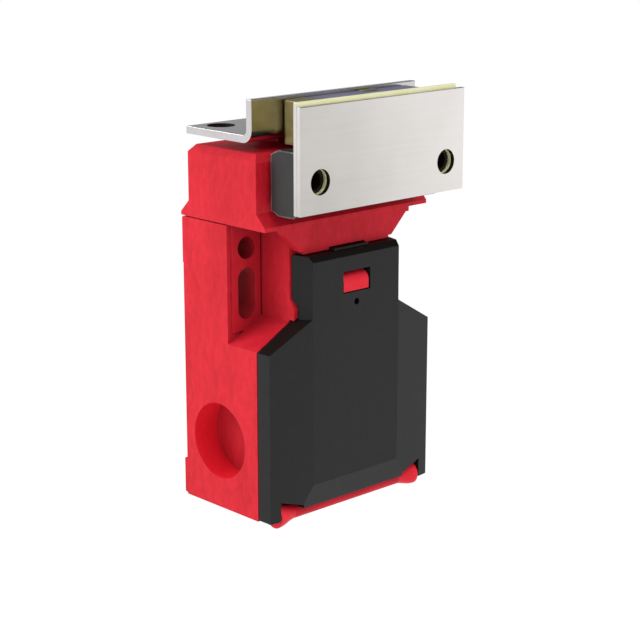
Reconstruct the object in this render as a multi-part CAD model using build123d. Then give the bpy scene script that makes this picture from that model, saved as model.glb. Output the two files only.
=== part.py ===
# Tongue-operated safety interlock switch with a magnetic door latch.
# X runs left to right, Y from the front to the back, Z up, all in millimetres.
# Heights are measured from the bottom of the housing. The finished pieces are moved so that
# the origin lies on the mounting plane, midway between the two mounting holes.
import os
from math import cos, radians, sin, tan

from build123d import *

os.makedirs("parts", exist_ok=True)

# Housing
body_width = 52.0
body_height = 68.7
body_front = -26.65            # front face of the housing, the mounting plane is at 0
body_back = -0.9               # back face above the foot pad
pad_height = 9.05              # foot pad that meets the mounting plane
pad_chamfer_back = 1.9
pad_chamfer_up = 0.6
neck_half = 15.9
recess_floor = -16.64          # front face of the mounting flanges
shoulder_outer = 40.8          # height of the shoulder at the side of the housing
shoulder_angle = 29.3
back_wall = 2.0
side_wall = 2.0
floor_wall = 6.0
top_wall = 2.5
cavity_neck_half = 11.4
bib_half = 20.6
bib_front = -29.2
bib_bottom = 62.8
bib_angle = 45.0
under_bib_half = 13.7          # ledges under the bib, one each side of the cover's lip
under_bib_gap = 0.2
rim_depth = 0.8                # rim that closes the seam in front of the gasket
lug_depth = 1.6                # lugs beside the cover's neck, which centre the cover
lug_inner = 13.9
lug_front_top = 49.6
lug_top = 51.7

# Mounting holes and slots
hole_spacing = 40.9
hole_height = 62.9
hole_r = 2.65
slot_height = 52.1
slot_length = 12.3
land_proud = 0.5               # raised land round each hole and slot
land_gap = 0.35                # groove between the land and the wall beside it
land_side = 1.2
land_bottom = 43.4
land_corner = 3.4
boss_half_width = 5.0
boss_half_height = 5.4

# Conduit entries
entry_r = 9.19                 # core of an M20 x 1.5 thread
entry_y = -13.1
entry_height = 16.5
knockout_depth = 6.8

# Hinge rail of the cover
hinge_y = -28.6
hinge_z = 0.9
rail_r = 1.75
flare_r = 2.85
flare_length = 6.2
journal_r = 1.0
journal_clearance = 0.05

# Cover
gap = 0.3                      # between pieces that move past each other
cover_side_depth = 4.05
cover_facet_depth = 1.6
panel_half = 13.9
cover_neck_half = 15.4
cover_top = 62.0
cover_top_bevel = 1.3
cover_wall = 1.8
cover_foot = 0.35
chin_start = 7.5               # height where the bottom chamfer of the cover starts
chin_end = 2.3
chin_depth = 0.5
leg_width = 3.0
leg_skin = 0.9                 # closed outer side of each leg
notch_top = 5.1                # notches over the flares, highest beside the legs
notch_low = 3.2
lip_half = 5.5
lip_rise = 0.5
window_half = 4.35
window_bottom = 52.0
window_top = 57.15
window_relief = 1.1            # fall of the window sill towards the inside
sight_height = 49.55
sight_r = 0.8
seal_width = 1.1
seal_depth = 1.4
seal_inset = 0.3

# Latch
latch_pivot_y = -25.6
latch_pivot_r = 0.8
latch_arm = 1.4
latch_half = 3.4
tab_half = 4.05
tab_front = -32.4
tab_bottom = 52.15
tab_top = 56.6
tab_brow_depth = 3.2           # rounded brow over the tab
tab_brow_height = 2.4

# Head
seam = 0.3                     # thickness of the gasket under the head
head_front = -26.9
head_back = -3.26
flare_front = -29.81
flare_back = -0.41
lip_height = 0.9
head_cap = 15.24               # from the seam to where the top chamfer starts
head_top_chamfer = 1.68
head_top_inset = 1.45
head_wall = 2.3
chamber_half = 7.6
land_half = 9.0                # raised land that carries the bracket
land_length = 8.0
land_shift = 3.5               # from the middle of the head towards the back

# Cam, tongue and plunger
cam_y = -15.6
cam_height = 5.5               # cam axis above the seam
cam_r = 7.5
cam_half = 3.0
cam_turn = 75.0
cam_base_r = 4.2
cam_margin = 22.0              # the spiral runs on by this angle at both ends
notch_rear = 26.0
notch_front = 46.0
notch_clearance = 0.35
plunger_travel = 3.0
pin_r = 1.5
pin_clearance = 0.05
tongue_above_cam = 5.5
tongue_thick = 2.5
tongue_half = 7.0
tongue_bar = 3.0
prong = 2.9
plunger_r = 1.6
tip_r = 1.5
bore_clearance = 0.08

# Contact block
block_half = 11.0
block_front = -23.2
block_bottom = 38.5
block_top = 64.5
bay_half = 10.2
bay_back = -12.6
bay_bottom = 46.5
bay_top = 56.5
strip = 0.8
strip_inner = 4.6
strip_outer = 10.0
button_r = 1.3
button_h = 0.4
bridge_h = 1.0
bridge_half = 8.6
bridge_depth = 4.6
upper_screw = 60.3
lower_screw = 43.2
screw_x = 7.3
clamp_size = 5.2
terminal_r = 1.5
terminal_head_r = 2.6
spring_r = 2.3
spring_wire = 0.5
spring_turns = 4
ear_height = 4.8
ear_depth = 5.0
spring_seat = 1.0
barrier_thick = 0.7
barrier_depth = 0.9
contact_clearance = 0.02
collar_h = 0.8
collar_lift = 0.6              # of the plunger's collar above the floor of the bay
terminal_reach = 6.0

# Door side actuator
plate_half = 26.0
plate_front = -41.47
plate_thick = 1.16
plate_skin = 0.5               # left in front of the blind screw holes
plate_bottom = 74.15
plate_top = 97.95
backing_thick = 0.99
backing_rise = 0.9
backing_short = 1.8            # the backing plate stops short of the right edge
plate_hole_spacing = 40.0
plate_hole_r = 2.85
plate_hole_z = 81.2
carrier_half = 22.85
carrier_gap = 1.5              # between the carrier and the head when the door is shut
carrier_foot = -35.6           # where the chamfer under the plates starts
carrier_foot_rise = 2.4
carrier_bottom = 72.5
carrier_top = 87.3
carrier_chamfer_in = 2.4
carrier_chamfer_up = 1.15
magnet_gap = 0.2
magnet_top = 97.4
magnet_left = -10.35
magnet_right = 21.9
holder_left = -17.2
holder_round = 1.4
holder_thick = 1.2
fixing_x = 14.0
fixing_r = 2.0
fixing_head_r = 3.7
tongue_cover = 3.0             # wall of the carrier in front of the tongue
roll_pin_r = 1.25
roll_pin_inset = 4.0
tapped_r = 2.1                 # core of the M5 threads behind the plate holes
tapped_depth = 8.0
fixing_seat = 3.0
fixing_head_sink = 0.6
socket_r = 1.6
socket_depth = 2.0

# Bracket
bracket_thick = 1.8
bracket_bend = 1.2             # inside radius of the bend
bracket_face = -25.63          # front face of the upright leg
bracket_under = 88.25
bracket_top = 98.1
bracket_back = -2.85
foot_hole_spacing = 39.4
foot_hole_y = -7.8
foot_hole_r = 3.2
bracket_screw_r = 1.95
bracket_screw_head_r = 3.4
bracket_screw_head_h = 2.2

# Small screws
screw_r = 1.25
screw_hole_clearance = 0.15
screw_head_r = 2.1
screw_head_h = 1.6
driver_slot_half = 0.35
driver_slot_depth = 0.7
head_screw_inset = 4.4         # from the front and back walls of the head
head_screw_reach = 8.0
ear_screw_x = 8.0
earth_x = -9.0
earth_z = 28.0
earth_half_x = 4.0
earth_half_z = 3.5
earth_sheet = 1.0
earth_lip = 4.0

# Worked out from the sizes above
half = body_width / 2
seam_top = body_height + seam
head_top = seam_top + head_cap + head_top_chamfer
cam_z = seam_top + cam_height
tongue_z = cam_z + tongue_above_cam
cover_back = body_front - gap
cover_side = cover_back - cover_side_depth
cover_front = cover_side - cover_facet_depth
backing_front = plate_front + plate_thick
backing_back = backing_front + backing_thick
latch_pivot_z = body_height - top_wall - latch_pivot_r - 0.1
inner_wall = body_back - back_wall
carrier_back = head_front - carrier_gap
ear_screw_z = block_bottom - ear_height / 2
tongue_root = backing_back + tongue_cover
roll_pin_y = tongue_root + roll_pin_inset
land_y = (head_front + head_back) / 2 + land_shift


def shoulder(x, lower=0.0):
    """Height of the sloping shoulder at a distance x from the middle."""
    return shoulder_outer - lower + (half - x) * tan(radians(shoulder_angle))


def span(x0, x1, y0, y1, z0, z1):
    """A block between two corners."""
    return Pos((x0 + x1) / 2, (y0 + y1) / 2, (z0 + z1) / 2) * Box(abs(x1 - x0), abs(y1 - y0), abs(z1 - z0))


def front_form(points, y_back, y_front):
    """A shape drawn as seen from the front and pushed forward."""
    face = Plane.XZ.offset(-y_back) * make_face(Polyline(*points, close=True))
    return extrude(face, amount=y_back - y_front)


def side_form(points, x0, x1):
    """A shape drawn as seen from the right, with points as (y, z)."""
    face = Plane.YZ.offset(x0) * make_face(Polyline(*points, close=True))
    return extrude(face, amount=x1 - x0)


def plan_form(points, z0, z1):
    """A shape drawn as seen from above."""
    face = Plane.XY.offset(z0) * make_face(Polyline(*points, close=True))
    return extrude(face, amount=z1 - z0)


def rod_x(y, z, r, x0, x1):
    return Pos((x0 + x1) / 2, y, z) * Rot(0, 90, 0) * Cylinder(r, abs(x1 - x0))


def rod_y(x, z, r, y0, y1):
    return Pos(x, (y0 + y1) / 2, z) * Rot(90, 0, 0) * Cylinder(r, abs(y1 - y0))


def rod_z(x, y, r, z0, z1):
    return Pos(x, y, (z0 + z1) / 2) * Cylinder(r, abs(z1 - z0))


def both_sides(shape):
    return shape + mirror(shape, about=Plane.YZ)


def mirrored(right):
    """Closes an outline given by its right half, from the bottom up."""
    return right + [(-x, z) for x, z in reversed(right)]


def neck_lug(clearance):
    """Lug of the housing on the right of the cover's neck, or its notch when grown by a clearance."""
    inner, front = lug_inner - clearance, body_front - lug_depth - clearance
    above = gap - clearance
    front_view = [(inner, shoulder(inner) + above), (neck_half, shoulder(neck_half) + above),
                  (neck_half, lug_top + clearance), (inner, lug_top + clearance)]
    side_view = [(body_front + 1, 0), (front, 0), (front, lug_front_top + clearance),
                 (body_front, lug_top + clearance), (body_front + 1, lug_top + clearance)]
    return front_form(front_view, body_front + 1, front) & side_form(side_view, 0, half)


def hinge_rail():
    """Spool shaped rail that the cover swings on, with a journal at each end."""
    outer = half - leg_width - gap
    inner, end = outer - flare_length, half - leg_skin - gap
    rail = rod_x(hinge_y, hinge_z, rail_r, -inner - 1, inner + 1)
    rise = flare_r - rail_r
    trumpet = Spline((inner, rail_r), (outer - flare_length * 0.55, rail_r + rise * 0.36),
                     (outer - flare_length * 0.15, rail_r + rise * 0.94), (outer, flare_r))
    rest = Polyline((outer, flare_r), (outer, journal_r), (end, journal_r), (end, 0), (inner, 0),
                    (inner, rail_r))
    flare = Pos(0, hinge_y, hinge_z) * revolve(make_face([trumpet, rest]), axis=Axis.X)
    return rail + both_sides(flare)


def housing():
    neck = mirrored([(half, 0), (half, shoulder_outer), (neck_half, shoulder(neck_half)),
                     (neck_half, body_height)])
    shell = front_form(neck, body_back, body_front)
    shell += span(-half, half, body_back, recess_floor, 0, body_height)
    foot = [(0, pad_chamfer_up), (-pad_chamfer_back, 0), (body_back - 2, 0),
            (body_back - 2, pad_height), (0, pad_height)]
    shell += side_form(foot, -half, half)
    run = body_height - bib_bottom
    bib = mirrored([(bib_half - run / tan(radians(bib_angle)), bib_bottom), (bib_half, body_height)])
    shell += front_form(bib, body_front, bib_front)
    shell += span(-bib_half, bib_half, bib_front, bib_front + rim_depth, body_height - 1, seam_top)
    shell += both_sides(neck_lug(0))
    for side in (-1, 1):
        shell += span(side * (lip_half + gap), side * under_bib_half, body_front, bib_front,
                      cover_top + under_bib_gap, bib_bottom)
    for side in (-1, 1):
        x = side * hole_spacing / 2
        shell += span(x - boss_half_width, x + boss_half_width, body_back, 0,
                      hole_height - boss_half_height, hole_height + boss_half_height)
        inner, outer = (neck_half + land_gap) * side, (half - land_side) * side
        corner = inner + side * land_corner
        land = [(inner, body_height), (inner, land_bottom + land_corner / 2), (corner, land_bottom),
                (outer, land_bottom), (outer, body_height)]
        shell += front_form(land, recess_floor, recess_floor - land_proud)

    # Space for the wiring below and the contact block above
    low_half = half - knockout_depth - side_wall
    room = mirrored([(low_half, floor_wall), (low_half, shoulder(low_half, 4.0)),
                     (cavity_neck_half, shoulder(cavity_neck_half, 4.0)),
                     (cavity_neck_half, body_height - top_wall)])
    shell -= front_form(room, inner_wall, body_front - 1)

    for side in (-1, 1):
        x = side * hole_spacing / 2
        shell -= rod_y(x, hole_height, hole_r, 1, body_front)
        reach = slot_length / 2 - hole_r
        shell -= rod_y(x, slot_height - reach, hole_r, 1, body_front)
        shell -= rod_y(x, slot_height + reach, hole_r, 1, body_front)
        shell -= span(x - hole_r, x + hole_r, 1, body_front, slot_height - reach, slot_height + reach)
        shell -= rod_x(entry_y, entry_height, entry_r, side * (half - knockout_depth), side * (half + 1))
    shell -= rod_z(0, entry_y, entry_r, -1, floor_wall + 1)

    # Opening under the cam, and the holes for the head screws
    shell -= span(-cam_half - 1.5, cam_half + 1.5, cam_y - cam_r - 0.8, cam_y + cam_r + 0.8,
                  body_height - top_wall - 1, body_height + 1)
    for x, y in head_screw_places():
        shell -= rod_z(x, y, screw_r + screw_hole_clearance, body_height - top_wall - 1, body_height + 1)
    for x in (-ear_screw_x, ear_screw_x):
        shell -= rod_y(x, ear_screw_z, screw_r, inner_wall - 1, body_back - 0.5)
    shell -= rod_y(earth_x, earth_z, screw_r, inner_wall - 1, body_back - 0.5)
    return shell + hinge_rail()


def head_screw_places():
    x = chamber_half + screw_r + 0.25
    rows = (head_front + head_screw_inset, head_back - head_screw_inset)
    return [(side * x, y) for side in (-1, 1) for y in rows]


def pan_screw_z(x, y, r, head_r, head_h, seat, end):
    """Screw pointing up, its head under the seat."""
    screw = rod_z(x, y, r, seat, end) + rod_z(x, y, head_r, seat - head_h, seat)
    bottom = seat - head_h
    slot = span(x - head_r, x + head_r, y - driver_slot_half, y + driver_slot_half,
                bottom - 1, bottom + driver_slot_depth)
    return screw - slot


def pan_screw_y(x, z, r, head_r, head_h, seat, end):
    """Screw pointing back, its head in front of the seat."""
    screw = rod_y(x, z, r, seat, end) + rod_y(x, z, head_r, seat - head_h, seat)
    front = seat - head_h
    slot = span(x - head_r, x + head_r, front - 1, front + driver_slot_depth,
                z - driver_slot_half, z + driver_slot_half)
    return screw - slot


def head():
    lip = seam_top + lip_height
    cap = seam_top + head_cap
    rise_front = head_front - flare_front
    rise_back = flare_back - head_back
    side = [(flare_front, seam_top), (flare_front, lip), (head_front, lip + rise_front),
            (head_front, cap), (head_front + head_top_inset, head_top),
            (head_back - head_top_inset, head_top), (head_back, cap),
            (head_back, lip + rise_back), (flare_back, lip), (flare_back, seam_top)]
    front = mirrored([(half, seam_top), (half, cap), (half - head_top_inset, head_top)])
    shell = side_form(side, -half, half) & front_form(front, 5, -40)
    shell += span(-land_half, land_half, land_y - land_length / 2, land_y + land_length / 2,
                  head_top, bracket_under)
    shell -= span(-chamber_half, chamber_half, head_front + head_wall, head_back - head_wall,
                  seam_top - 1, head_top - head_wall)
    reach = tongue_half + gap
    shell -= span(-reach, reach, head_front - 1, head_front + head_wall + 1,
                  tongue_z - tongue_thick / 2 - gap, tongue_z + tongue_thick / 2 + gap)
    shell -= rod_x(cam_y, cam_z, pin_r, -chamber_half - 3, chamber_half + 3)
    for x, y in head_screw_places():
        shell -= rod_z(x, y, screw_r, seam_top - 1, seam_top + head_screw_reach + 1)
    shell -= rod_z(0, land_y, bracket_screw_r, head_top - 1, bracket_under + 1)
    return shell


def head_gasket():
    inset = 0.8
    sheet = span(-half + inset, half - inset, flare_front + 1.6, flare_back - 1.4, body_height, seam_top)
    sheet -= span(-chamber_half, chamber_half, head_front + head_wall, head_back - head_wall,
                  body_height - 1, seam_top + 1)
    for x, y in head_screw_places():
        sheet -= rod_z(x, y, screw_r + screw_hole_clearance, body_height - 1, seam_top + 1)
    return sheet


def head_screws():
    seat = body_height - top_wall
    return [pan_screw_z(x, y, screw_r, screw_head_r, screw_head_h, seat, seam_top + head_screw_reach)
            for x, y in head_screw_places()]


def cover_outline(inset):
    """Front view of the cover's inside, drawn in by an inset."""
    top = cover_top - inset
    slope = tan(radians(shoulder_angle))
    drop = inset / cos(radians(shoulder_angle))
    outer, neck = half - inset, cover_neck_half - inset
    return mirrored([(outer, notch_top + inset), (outer, shoulder(half) - drop + inset * slope),
                     (neck, shoulder(neck) - drop), (neck, top)])


def cover_form(inset):
    """Outer form of the cover, or its inside when drawn in by the wall."""
    side, panel = half - inset, panel_half - inset * 0.5
    low = notch_top + inset if inset else cover_foot
    drop = inset / cos(radians(shoulder_angle))
    tent = [(-side, low), (side, low), (side, shoulder(side) - drop), (0, shoulder(0) - drop),
            (-side, shoulder(side) - drop)]
    slab = front_form(tent, cover_back, cover_front + inset)
    facets = [(-side, cover_back), (side, cover_back), (side, cover_side + inset),
              (panel, cover_front + inset), (-panel, cover_front + inset), (-side, cover_side + inset)]
    slab &= plan_form(facets, -10, 80)
    neck = cover_neck_half - inset
    walls = [(-neck, cover_back), (neck, cover_back), (panel, cover_front + inset),
             (-panel, cover_front + inset)]
    slab += plan_form(walls, low, cover_top - inset)
    bevel = cover_top_bevel
    crown = [(cover_front - 1, cover_top - inset - bevel), (cover_front + inset, cover_top - inset - bevel),
             (cover_front + inset + bevel, cover_top - inset), (cover_front + inset + bevel, 90),
             (cover_front - 1, 90)]
    slab -= side_form(crown, -40, 40)
    drop = inset * 0.7
    chin = [(cover_front - 1, chin_start + drop), (cover_front, chin_start + drop),
            (cover_front + chin_depth, chin_end + drop), (cover_front + chin_depth, -5),
            (cover_front - 1, -5)]
    reach = half - leg_width if not inset else half
    return slab - side_form(chin, -reach, reach)


def cover():
    shell = cover_form(0) - cover_form(cover_wall)
    lip = span(-lip_half, lip_half, cover_back, cover_front + cover_top_bevel + 0.6,
               cover_top - 1, cover_top + lip_rise)
    shell += lip
    # Room for the hinge rail between the legs
    inner = half - leg_width
    notch_inner = inner - gap - flare_length
    notch = [(notch_inner, -5), (inner, -5), (inner, notch_top), (notch_inner, notch_low)]
    shell -= both_sides(front_form(notch, cover_back + 1, cover_front - 1))
    shell -= span(-inner, inner, cover_back + 1, cover_front + chin_depth, -5, chin_end)
    shell -= rod_x(hinge_y, hinge_z, rail_r + gap, -inner, inner)
    # Rounded legs that snap over the journals
    back_reach = cover_back - hinge_y
    for side in (-1, 1):
        inside, outside = side * inner, side * half
        shell -= span(inside, outside, cover_back + 1, hinge_y, -5, hinge_z)
        shell += rod_x(hinge_y, hinge_z, back_reach, inside, outside) & span(
            inside, outside, cover_back, cover_front, cover_foot, 5)
        shell -= rod_x(hinge_y, hinge_z, journal_r + journal_clearance, inside,
                       outside - side * leg_skin)
    window = [(cover_front - 1, window_bottom), (cover_front, window_bottom),
              (cover_front + cover_wall, window_bottom - window_relief),
              (cover_back, window_bottom - window_relief), (cover_back, window_top),
              (cover_front - 1, window_top)]
    shell -= side_form(window, -window_half, window_half)
    shell -= both_sides(neck_lug(gap))
    shell -= rod_y(0, sight_height, sight_r, cover_back, cover_front - 1)
    return shell


def cover_seal():
    outer, inner = cover_wall + seal_inset, cover_wall + seal_inset + seal_width
    ring = front_form(cover_outline(outer), cover_back, cover_back - seal_depth)
    return ring - front_form(cover_outline(inner), cover_back + 1, cover_back - seal_depth - 1)


def cover_latch():
    arm_back = latch_pivot_y + latch_arm / 2
    arm_front = arm_back - latch_arm
    arm = span(-latch_half, latch_half, arm_back, arm_front, tab_bottom, latch_pivot_z)
    arm += rod_x(latch_pivot_y, latch_pivot_z, latch_pivot_r, -latch_half, latch_half)
    tab = span(-tab_half, tab_half, arm_front + 0.2, tab_front, tab_bottom, tab_top)
    brow = Ellipse(tab_brow_depth, tab_brow_height)
    centre = (tab_front + tab_brow_depth, tab_top - tab_brow_height)
    rounded = Plane.YZ.offset(-tab_half) * Pos(*centre) * brow
    rounded = extrude(rounded, amount=2 * tab_half)
    rounded += span(-tab_half, tab_half, arm_front + 0.2, tab_front, tab_bottom, centre[1])
    rounded += span(-tab_half, tab_half, arm_front + 0.2, centre[0], tab_bottom, tab_top)
    return arm + (tab & rounded)


def cam():
    """Disc with a notch for the tongue on top and a spiral lobe for the plunger below."""
    disc = rod_x(0, 0, cam_r, -cam_half, cam_half)
    turn = radians(cam_turn)
    margin = radians(cam_margin)
    steps = 24
    # The spiral lifts by the plunger's travel over the cam's turn, so both keep one ratio
    spiral = []
    for i in range(steps + 1):
        a = -margin + (turn + 2 * margin) * i / steps
        r = cam_base_r + plunger_travel * max(-0.15, a / turn)
        spiral.append((-r * sin(a), -r * cos(a)))
    start, end = spiral[0], spiral[-1]
    far = cam_r + 2
    below = [(-far * sin(turn + margin), -far * cos(turn + margin)), (-far, -far), (0, -far),
             (far * sin(margin), -far * cos(margin))]
    lobe = Spline(*spiral)
    outer = Polyline(end, *below, start)
    disc -= extrude(Plane.YZ.offset(-cam_half - 1) * make_face([lobe, outer]), amount=2 * cam_half + 2)
    floor = tongue_above_cam - tongue_thick / 2 - notch_clearance
    rear, front = radians(notch_rear), radians(notch_front)
    notch = [(floor * tan(rear), floor), (far * tan(rear), far), (-far * tan(front), far),
             (-floor * tan(front), floor)]
    disc -= side_form(notch, -cam_half - 1, cam_half + 1)
    disc -= rod_x(0, 0, pin_r + pin_clearance, -cam_half - 1, cam_half + 1)
    return Pos(0, cam_y, cam_z) * disc


def cam_pin():
    return rod_x(cam_y, cam_z, pin_r, -chamber_half - 2.6, chamber_half + 2.6)


def cam_spacers():
    """Sleeves that keep the cam in the middle of its pin."""
    sleeves = []
    for side in (-1, 1):
        x0, x1 = side * (cam_half + 0.1), side * (chamber_half - 0.1)
        sleeve = rod_x(cam_y, cam_z, pin_r + 1.0, x0, x1)
        sleeves.append(sleeve - rod_x(cam_y, cam_z, pin_r, x0 - side, x1 + side))
    return sleeves


def plunger():
    top = cam_z - cam_base_r - gap
    foot = bay_bottom + collar_lift
    stem = rod_z(0, cam_y, plunger_r, foot, top - tip_r)
    stem += Pos(0, cam_y, top - tip_r) * Sphere(tip_r)
    return stem + rod_z(0, cam_y, spring_r, foot, foot + collar_h)


def contact_bridge():
    z = bridge_bottom()
    bar = span(-bridge_half, bridge_half, cam_y - bridge_depth / 2, cam_y + bridge_depth / 2,
               z, z + bridge_h)
    for x in (-screw_x, screw_x):
        bar += rod_z(x, cam_y, button_r, z - button_h, z + bridge_h + button_h)
    return bar - rod_z(0, cam_y, plunger_r, z - 1, z + bridge_h + 1)


def bridge_bottom():
    upper_face = bay_top - strip - button_h
    return upper_face - contact_clearance - button_h - bridge_h


def plunger_spring():
    low, high = block_bottom + spring_seat, bay_bottom + collar_lift
    pitch = (high - low - spring_wire * 2.2) / spring_turns
    r = spring_r - spring_wire
    path = Pos(0, cam_y, low + spring_wire * 1.1) * Helix(pitch, pitch * spring_turns, r)
    section = Plane(path @ 0, z_dir=path % 0) * Circle(spring_wire)
    return sweep(section, path=path, is_frenet=True)


def contact_block():
    block = span(-block_half, block_half, inner_wall, block_front, block_bottom, block_top)
    block += span(-block_half, block_half, inner_wall, inner_wall - ear_depth,
                  block_bottom - ear_height, block_bottom)
    block -= span(-bay_half, bay_half, bay_back, block_front - 1, bay_bottom, bay_top)
    block -= rod_z(0, cam_y, plunger_r + bore_clearance, bay_bottom - 1, block_top + 1)
    block -= rod_z(0, cam_y, spring_r + gap, block_bottom + spring_seat, bay_bottom + 1)
    for x in (-screw_x, screw_x):
        for z in (upper_screw, lower_screw):
            block -= rod_y(x, z, terminal_r, block_front - 1, block_front + terminal_reach + 0.5)
    for x in (-ear_screw_x, ear_screw_x):
        block -= rod_y(x, ear_screw_z, screw_r + screw_hole_clearance, -1, -20)
    # Barriers between the two terminals of each row
    for z0, z1 in ((bay_top, block_top), (block_bottom, bay_bottom)):
        for side in (-1, 1):
            x = side * (strip_inner - 0.05)
            block += span(x, x - side * barrier_thick, block_front, block_front - barrier_depth, z0, z1)
    return block


def fixed_contact(side, upper):
    """Bent strip from a contact button to its terminal."""
    x0, x1 = side * strip_inner, side * strip_outer
    face = block_front - strip
    if upper:
        leg0, leg1 = bay_top - strip, bay_top
        tab0, tab1 = leg0, block_top - 0.8
        button = (leg0 - button_h, leg0)
        screw_z = upper_screw
    else:
        leg1 = bridge_bottom() - button_h * 2 - plunger_travel - contact_clearance
        leg0 = leg1 - strip
        tab0, tab1 = block_bottom + 0.8, leg1
        button = (leg1, leg1 + button_h)
        screw_z = lower_screw
    piece = span(x0, x1, face, cam_y + 2.2, leg0, leg1) + span(x0, x1, block_front, face, tab0, tab1)
    piece += rod_z(side * screw_x, cam_y, button_r, *button)
    return piece - rod_y(side * screw_x, screw_z, terminal_r + 0.1, face - 1, block_front + 1)


def fixed_contacts():
    return [fixed_contact(side, upper) for side in (-1, 1) for upper in (True, False)]


def terminal_clamps():
    face = block_front - strip
    pieces = []
    for x in (-screw_x, screw_x):
        for z in (upper_screw, lower_screw):
            s = clamp_size / 2
            plate = span(x - s, x + s, face, face - 0.8, z - s, z + s)
            pieces.append(plate - rod_y(x, z, terminal_r + 0.1, face - 2, face + 1))
    return pieces


def terminal_screws():
    seat = block_front - strip - 0.8
    return [pan_screw_y(x, z, terminal_r, terminal_head_r, screw_head_h, seat, block_front + terminal_reach)
            for x in (-screw_x, screw_x) for z in (upper_screw, lower_screw)]


def block_screws():
    seat = inner_wall - ear_depth
    return [pan_screw_y(x, ear_screw_z, screw_r, screw_head_r, screw_head_h, seat, body_back - 0.6)
            for x in (-ear_screw_x, ear_screw_x)]


def earth_plate():
    left, right = earth_x - earth_half_x, earth_x + earth_half_x
    low, high = earth_z - earth_half_z, earth_z + earth_half_z
    plate = span(left, right, inner_wall, inner_wall - earth_sheet, low, high)
    plate += span(right - earth_sheet, right, inner_wall, inner_wall - earth_lip, low, high)
    return plate - rod_y(earth_x, earth_z, screw_r + screw_hole_clearance, 0, -10)


def earth_screw():
    seat = inner_wall - earth_sheet
    return pan_screw_y(earth_x, earth_z, screw_r, screw_head_r, screw_head_h, seat, body_back - 0.6)


def plate_holes(r, y0, y1):
    cut = rod_y(-plate_hole_spacing / 2, plate_hole_z, r, y0, y1)
    return cut + rod_y(plate_hole_spacing / 2, plate_hole_z, r, y0, y1)


def front_plate():
    plate = span(-plate_half, plate_half, plate_front, backing_front, plate_bottom, plate_top)
    plate -= plate_holes(plate_hole_r, plate_front - 1, backing_front + 1)
    for x in (-fixing_x, fixing_x):
        plate -= rod_y(x, tongue_z, fixing_r, plate_front + plate_skin, backing_front + 1)
    return plate


def backing_plate():
    plate = span(-plate_half, plate_half - backing_short, backing_front, backing_back,
                 plate_bottom, plate_top + backing_rise)
    plate -= plate_holes(plate_hole_r, backing_front - 1, backing_back + 1)
    for x in (-fixing_x, fixing_x):
        plate -= rod_y(x, tongue_z, fixing_r, backing_front - 1, backing_back + 1)
    return plate


def carrier():
    """Moulded block that holds the tongue, chamfered where it meets the head."""
    back = carrier_back
    side = [(backing_back, carrier_bottom + carrier_foot_rise), (carrier_foot, carrier_bottom),
            (back - carrier_chamfer_in, carrier_bottom), (back, carrier_bottom + carrier_chamfer_up),
            (back, carrier_top - carrier_chamfer_up), (back - carrier_chamfer_in, carrier_top),
            (backing_back, carrier_top)]
    block = side_form(side, -carrier_half, carrier_half)
    block -= plate_holes(tapped_r, backing_back - 1, backing_back + tapped_depth)
    block -= span(-tongue_half, tongue_half, tongue_root, back + 1,
                  tongue_z - tongue_thick / 2, tongue_z + tongue_thick / 2)
    for x in (-fixing_x, fixing_x):
        block -= rod_y(x, tongue_z, fixing_r + 0.1, backing_back - 1, back + 1)
        block -= rod_y(x, tongue_z, fixing_head_r + 0.1, back - fixing_seat, back + 1)
    return block - rod_z(0, roll_pin_y, roll_pin_r, carrier_bottom + 1, carrier_top + 1)


def carrier_screws():
    back = carrier_back
    end = back - fixing_head_sink
    pieces = []
    for x in (-fixing_x, fixing_x):
        screw = rod_y(x, tongue_z, fixing_r, plate_front + plate_skin + 0.1, back - fixing_seat)
        screw += rod_y(x, tongue_z, fixing_head_r, back - fixing_seat, end)
        socket = Plane.XZ.offset(-end - 0.5) * RegularPolygon(socket_r, 6)
        screw -= Pos(x, 0, tongue_z) * extrude(socket, amount=socket_depth)
        pieces.append(screw)
    return pieces


def tongue():
    tip = cam_y + tongue_bar / 2
    low, high = tongue_z - tongue_thick / 2, tongue_z + tongue_thick / 2
    blade = span(-tongue_half, tongue_half, tongue_root, tip, low, high)
    slot = tongue_half - prong
    blade -= span(-slot, slot, cam_y - tongue_bar / 2, head_front + 1.5, low - 1, high + 1)
    corners = blade.edges().filter_by(Axis.Z).group_by(Axis.Y)[-1]
    blade = chamfer(corners, 1.2)
    return blade - rod_z(0, roll_pin_y, roll_pin_r, low - 1, high + 1)


def tongue_pin():
    return rod_z(0, roll_pin_y, roll_pin_r, carrier_bottom + 1, carrier_top)


def magnet():
    low = carrier_top + magnet_gap + holder_thick
    return span(magnet_left, magnet_right, backing_back, bracket_face - gap, low, magnet_top)


def magnet_holder():
    """Folded steel tray under the magnet, with a closed end on the left."""
    low = carrier_top + magnet_gap
    tray = span(holder_left, magnet_right, backing_back, bracket_face - gap, low, magnet_top)
    tray -= span(magnet_left, magnet_right + 1, backing_back - 1, bracket_face + 1,
                 low + holder_thick, magnet_top + 1)
    corner = tray.edges().filter_by(Axis.Z).sort_by_distance((holder_left, bracket_face - gap, low))[0]
    return fillet(corner, holder_round)


def guide_bracket():
    """Angle of bent sheet, with its foot over the head and its leg against the magnet."""
    t, face, under = bracket_thick, bracket_face, bracket_under
    leg = span(-half, half, face, face + t, under, bracket_top)
    foot = span(-half, half, face, bracket_back, under, under + t)
    angle = leg + foot
    outer = angle.edges().filter_by(Axis.X).sort_by(lambda e: e.center().Y + e.center().Z)[0]
    angle = fillet(outer, bracket_bend + t)
    corner = angle.edges().filter_by(Axis.X).sort_by_distance((0, face + t, under + t))[0]
    angle = fillet(corner, bracket_bend)
    for side in (-1, 1):
        angle -= rod_z(side * foot_hole_spacing / 2, foot_hole_y, foot_hole_r, under - 1, under + t + 1)
    return angle - rod_z(0, land_y, bracket_screw_r + screw_hole_clearance, under - 1, under + t + 1)


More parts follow.
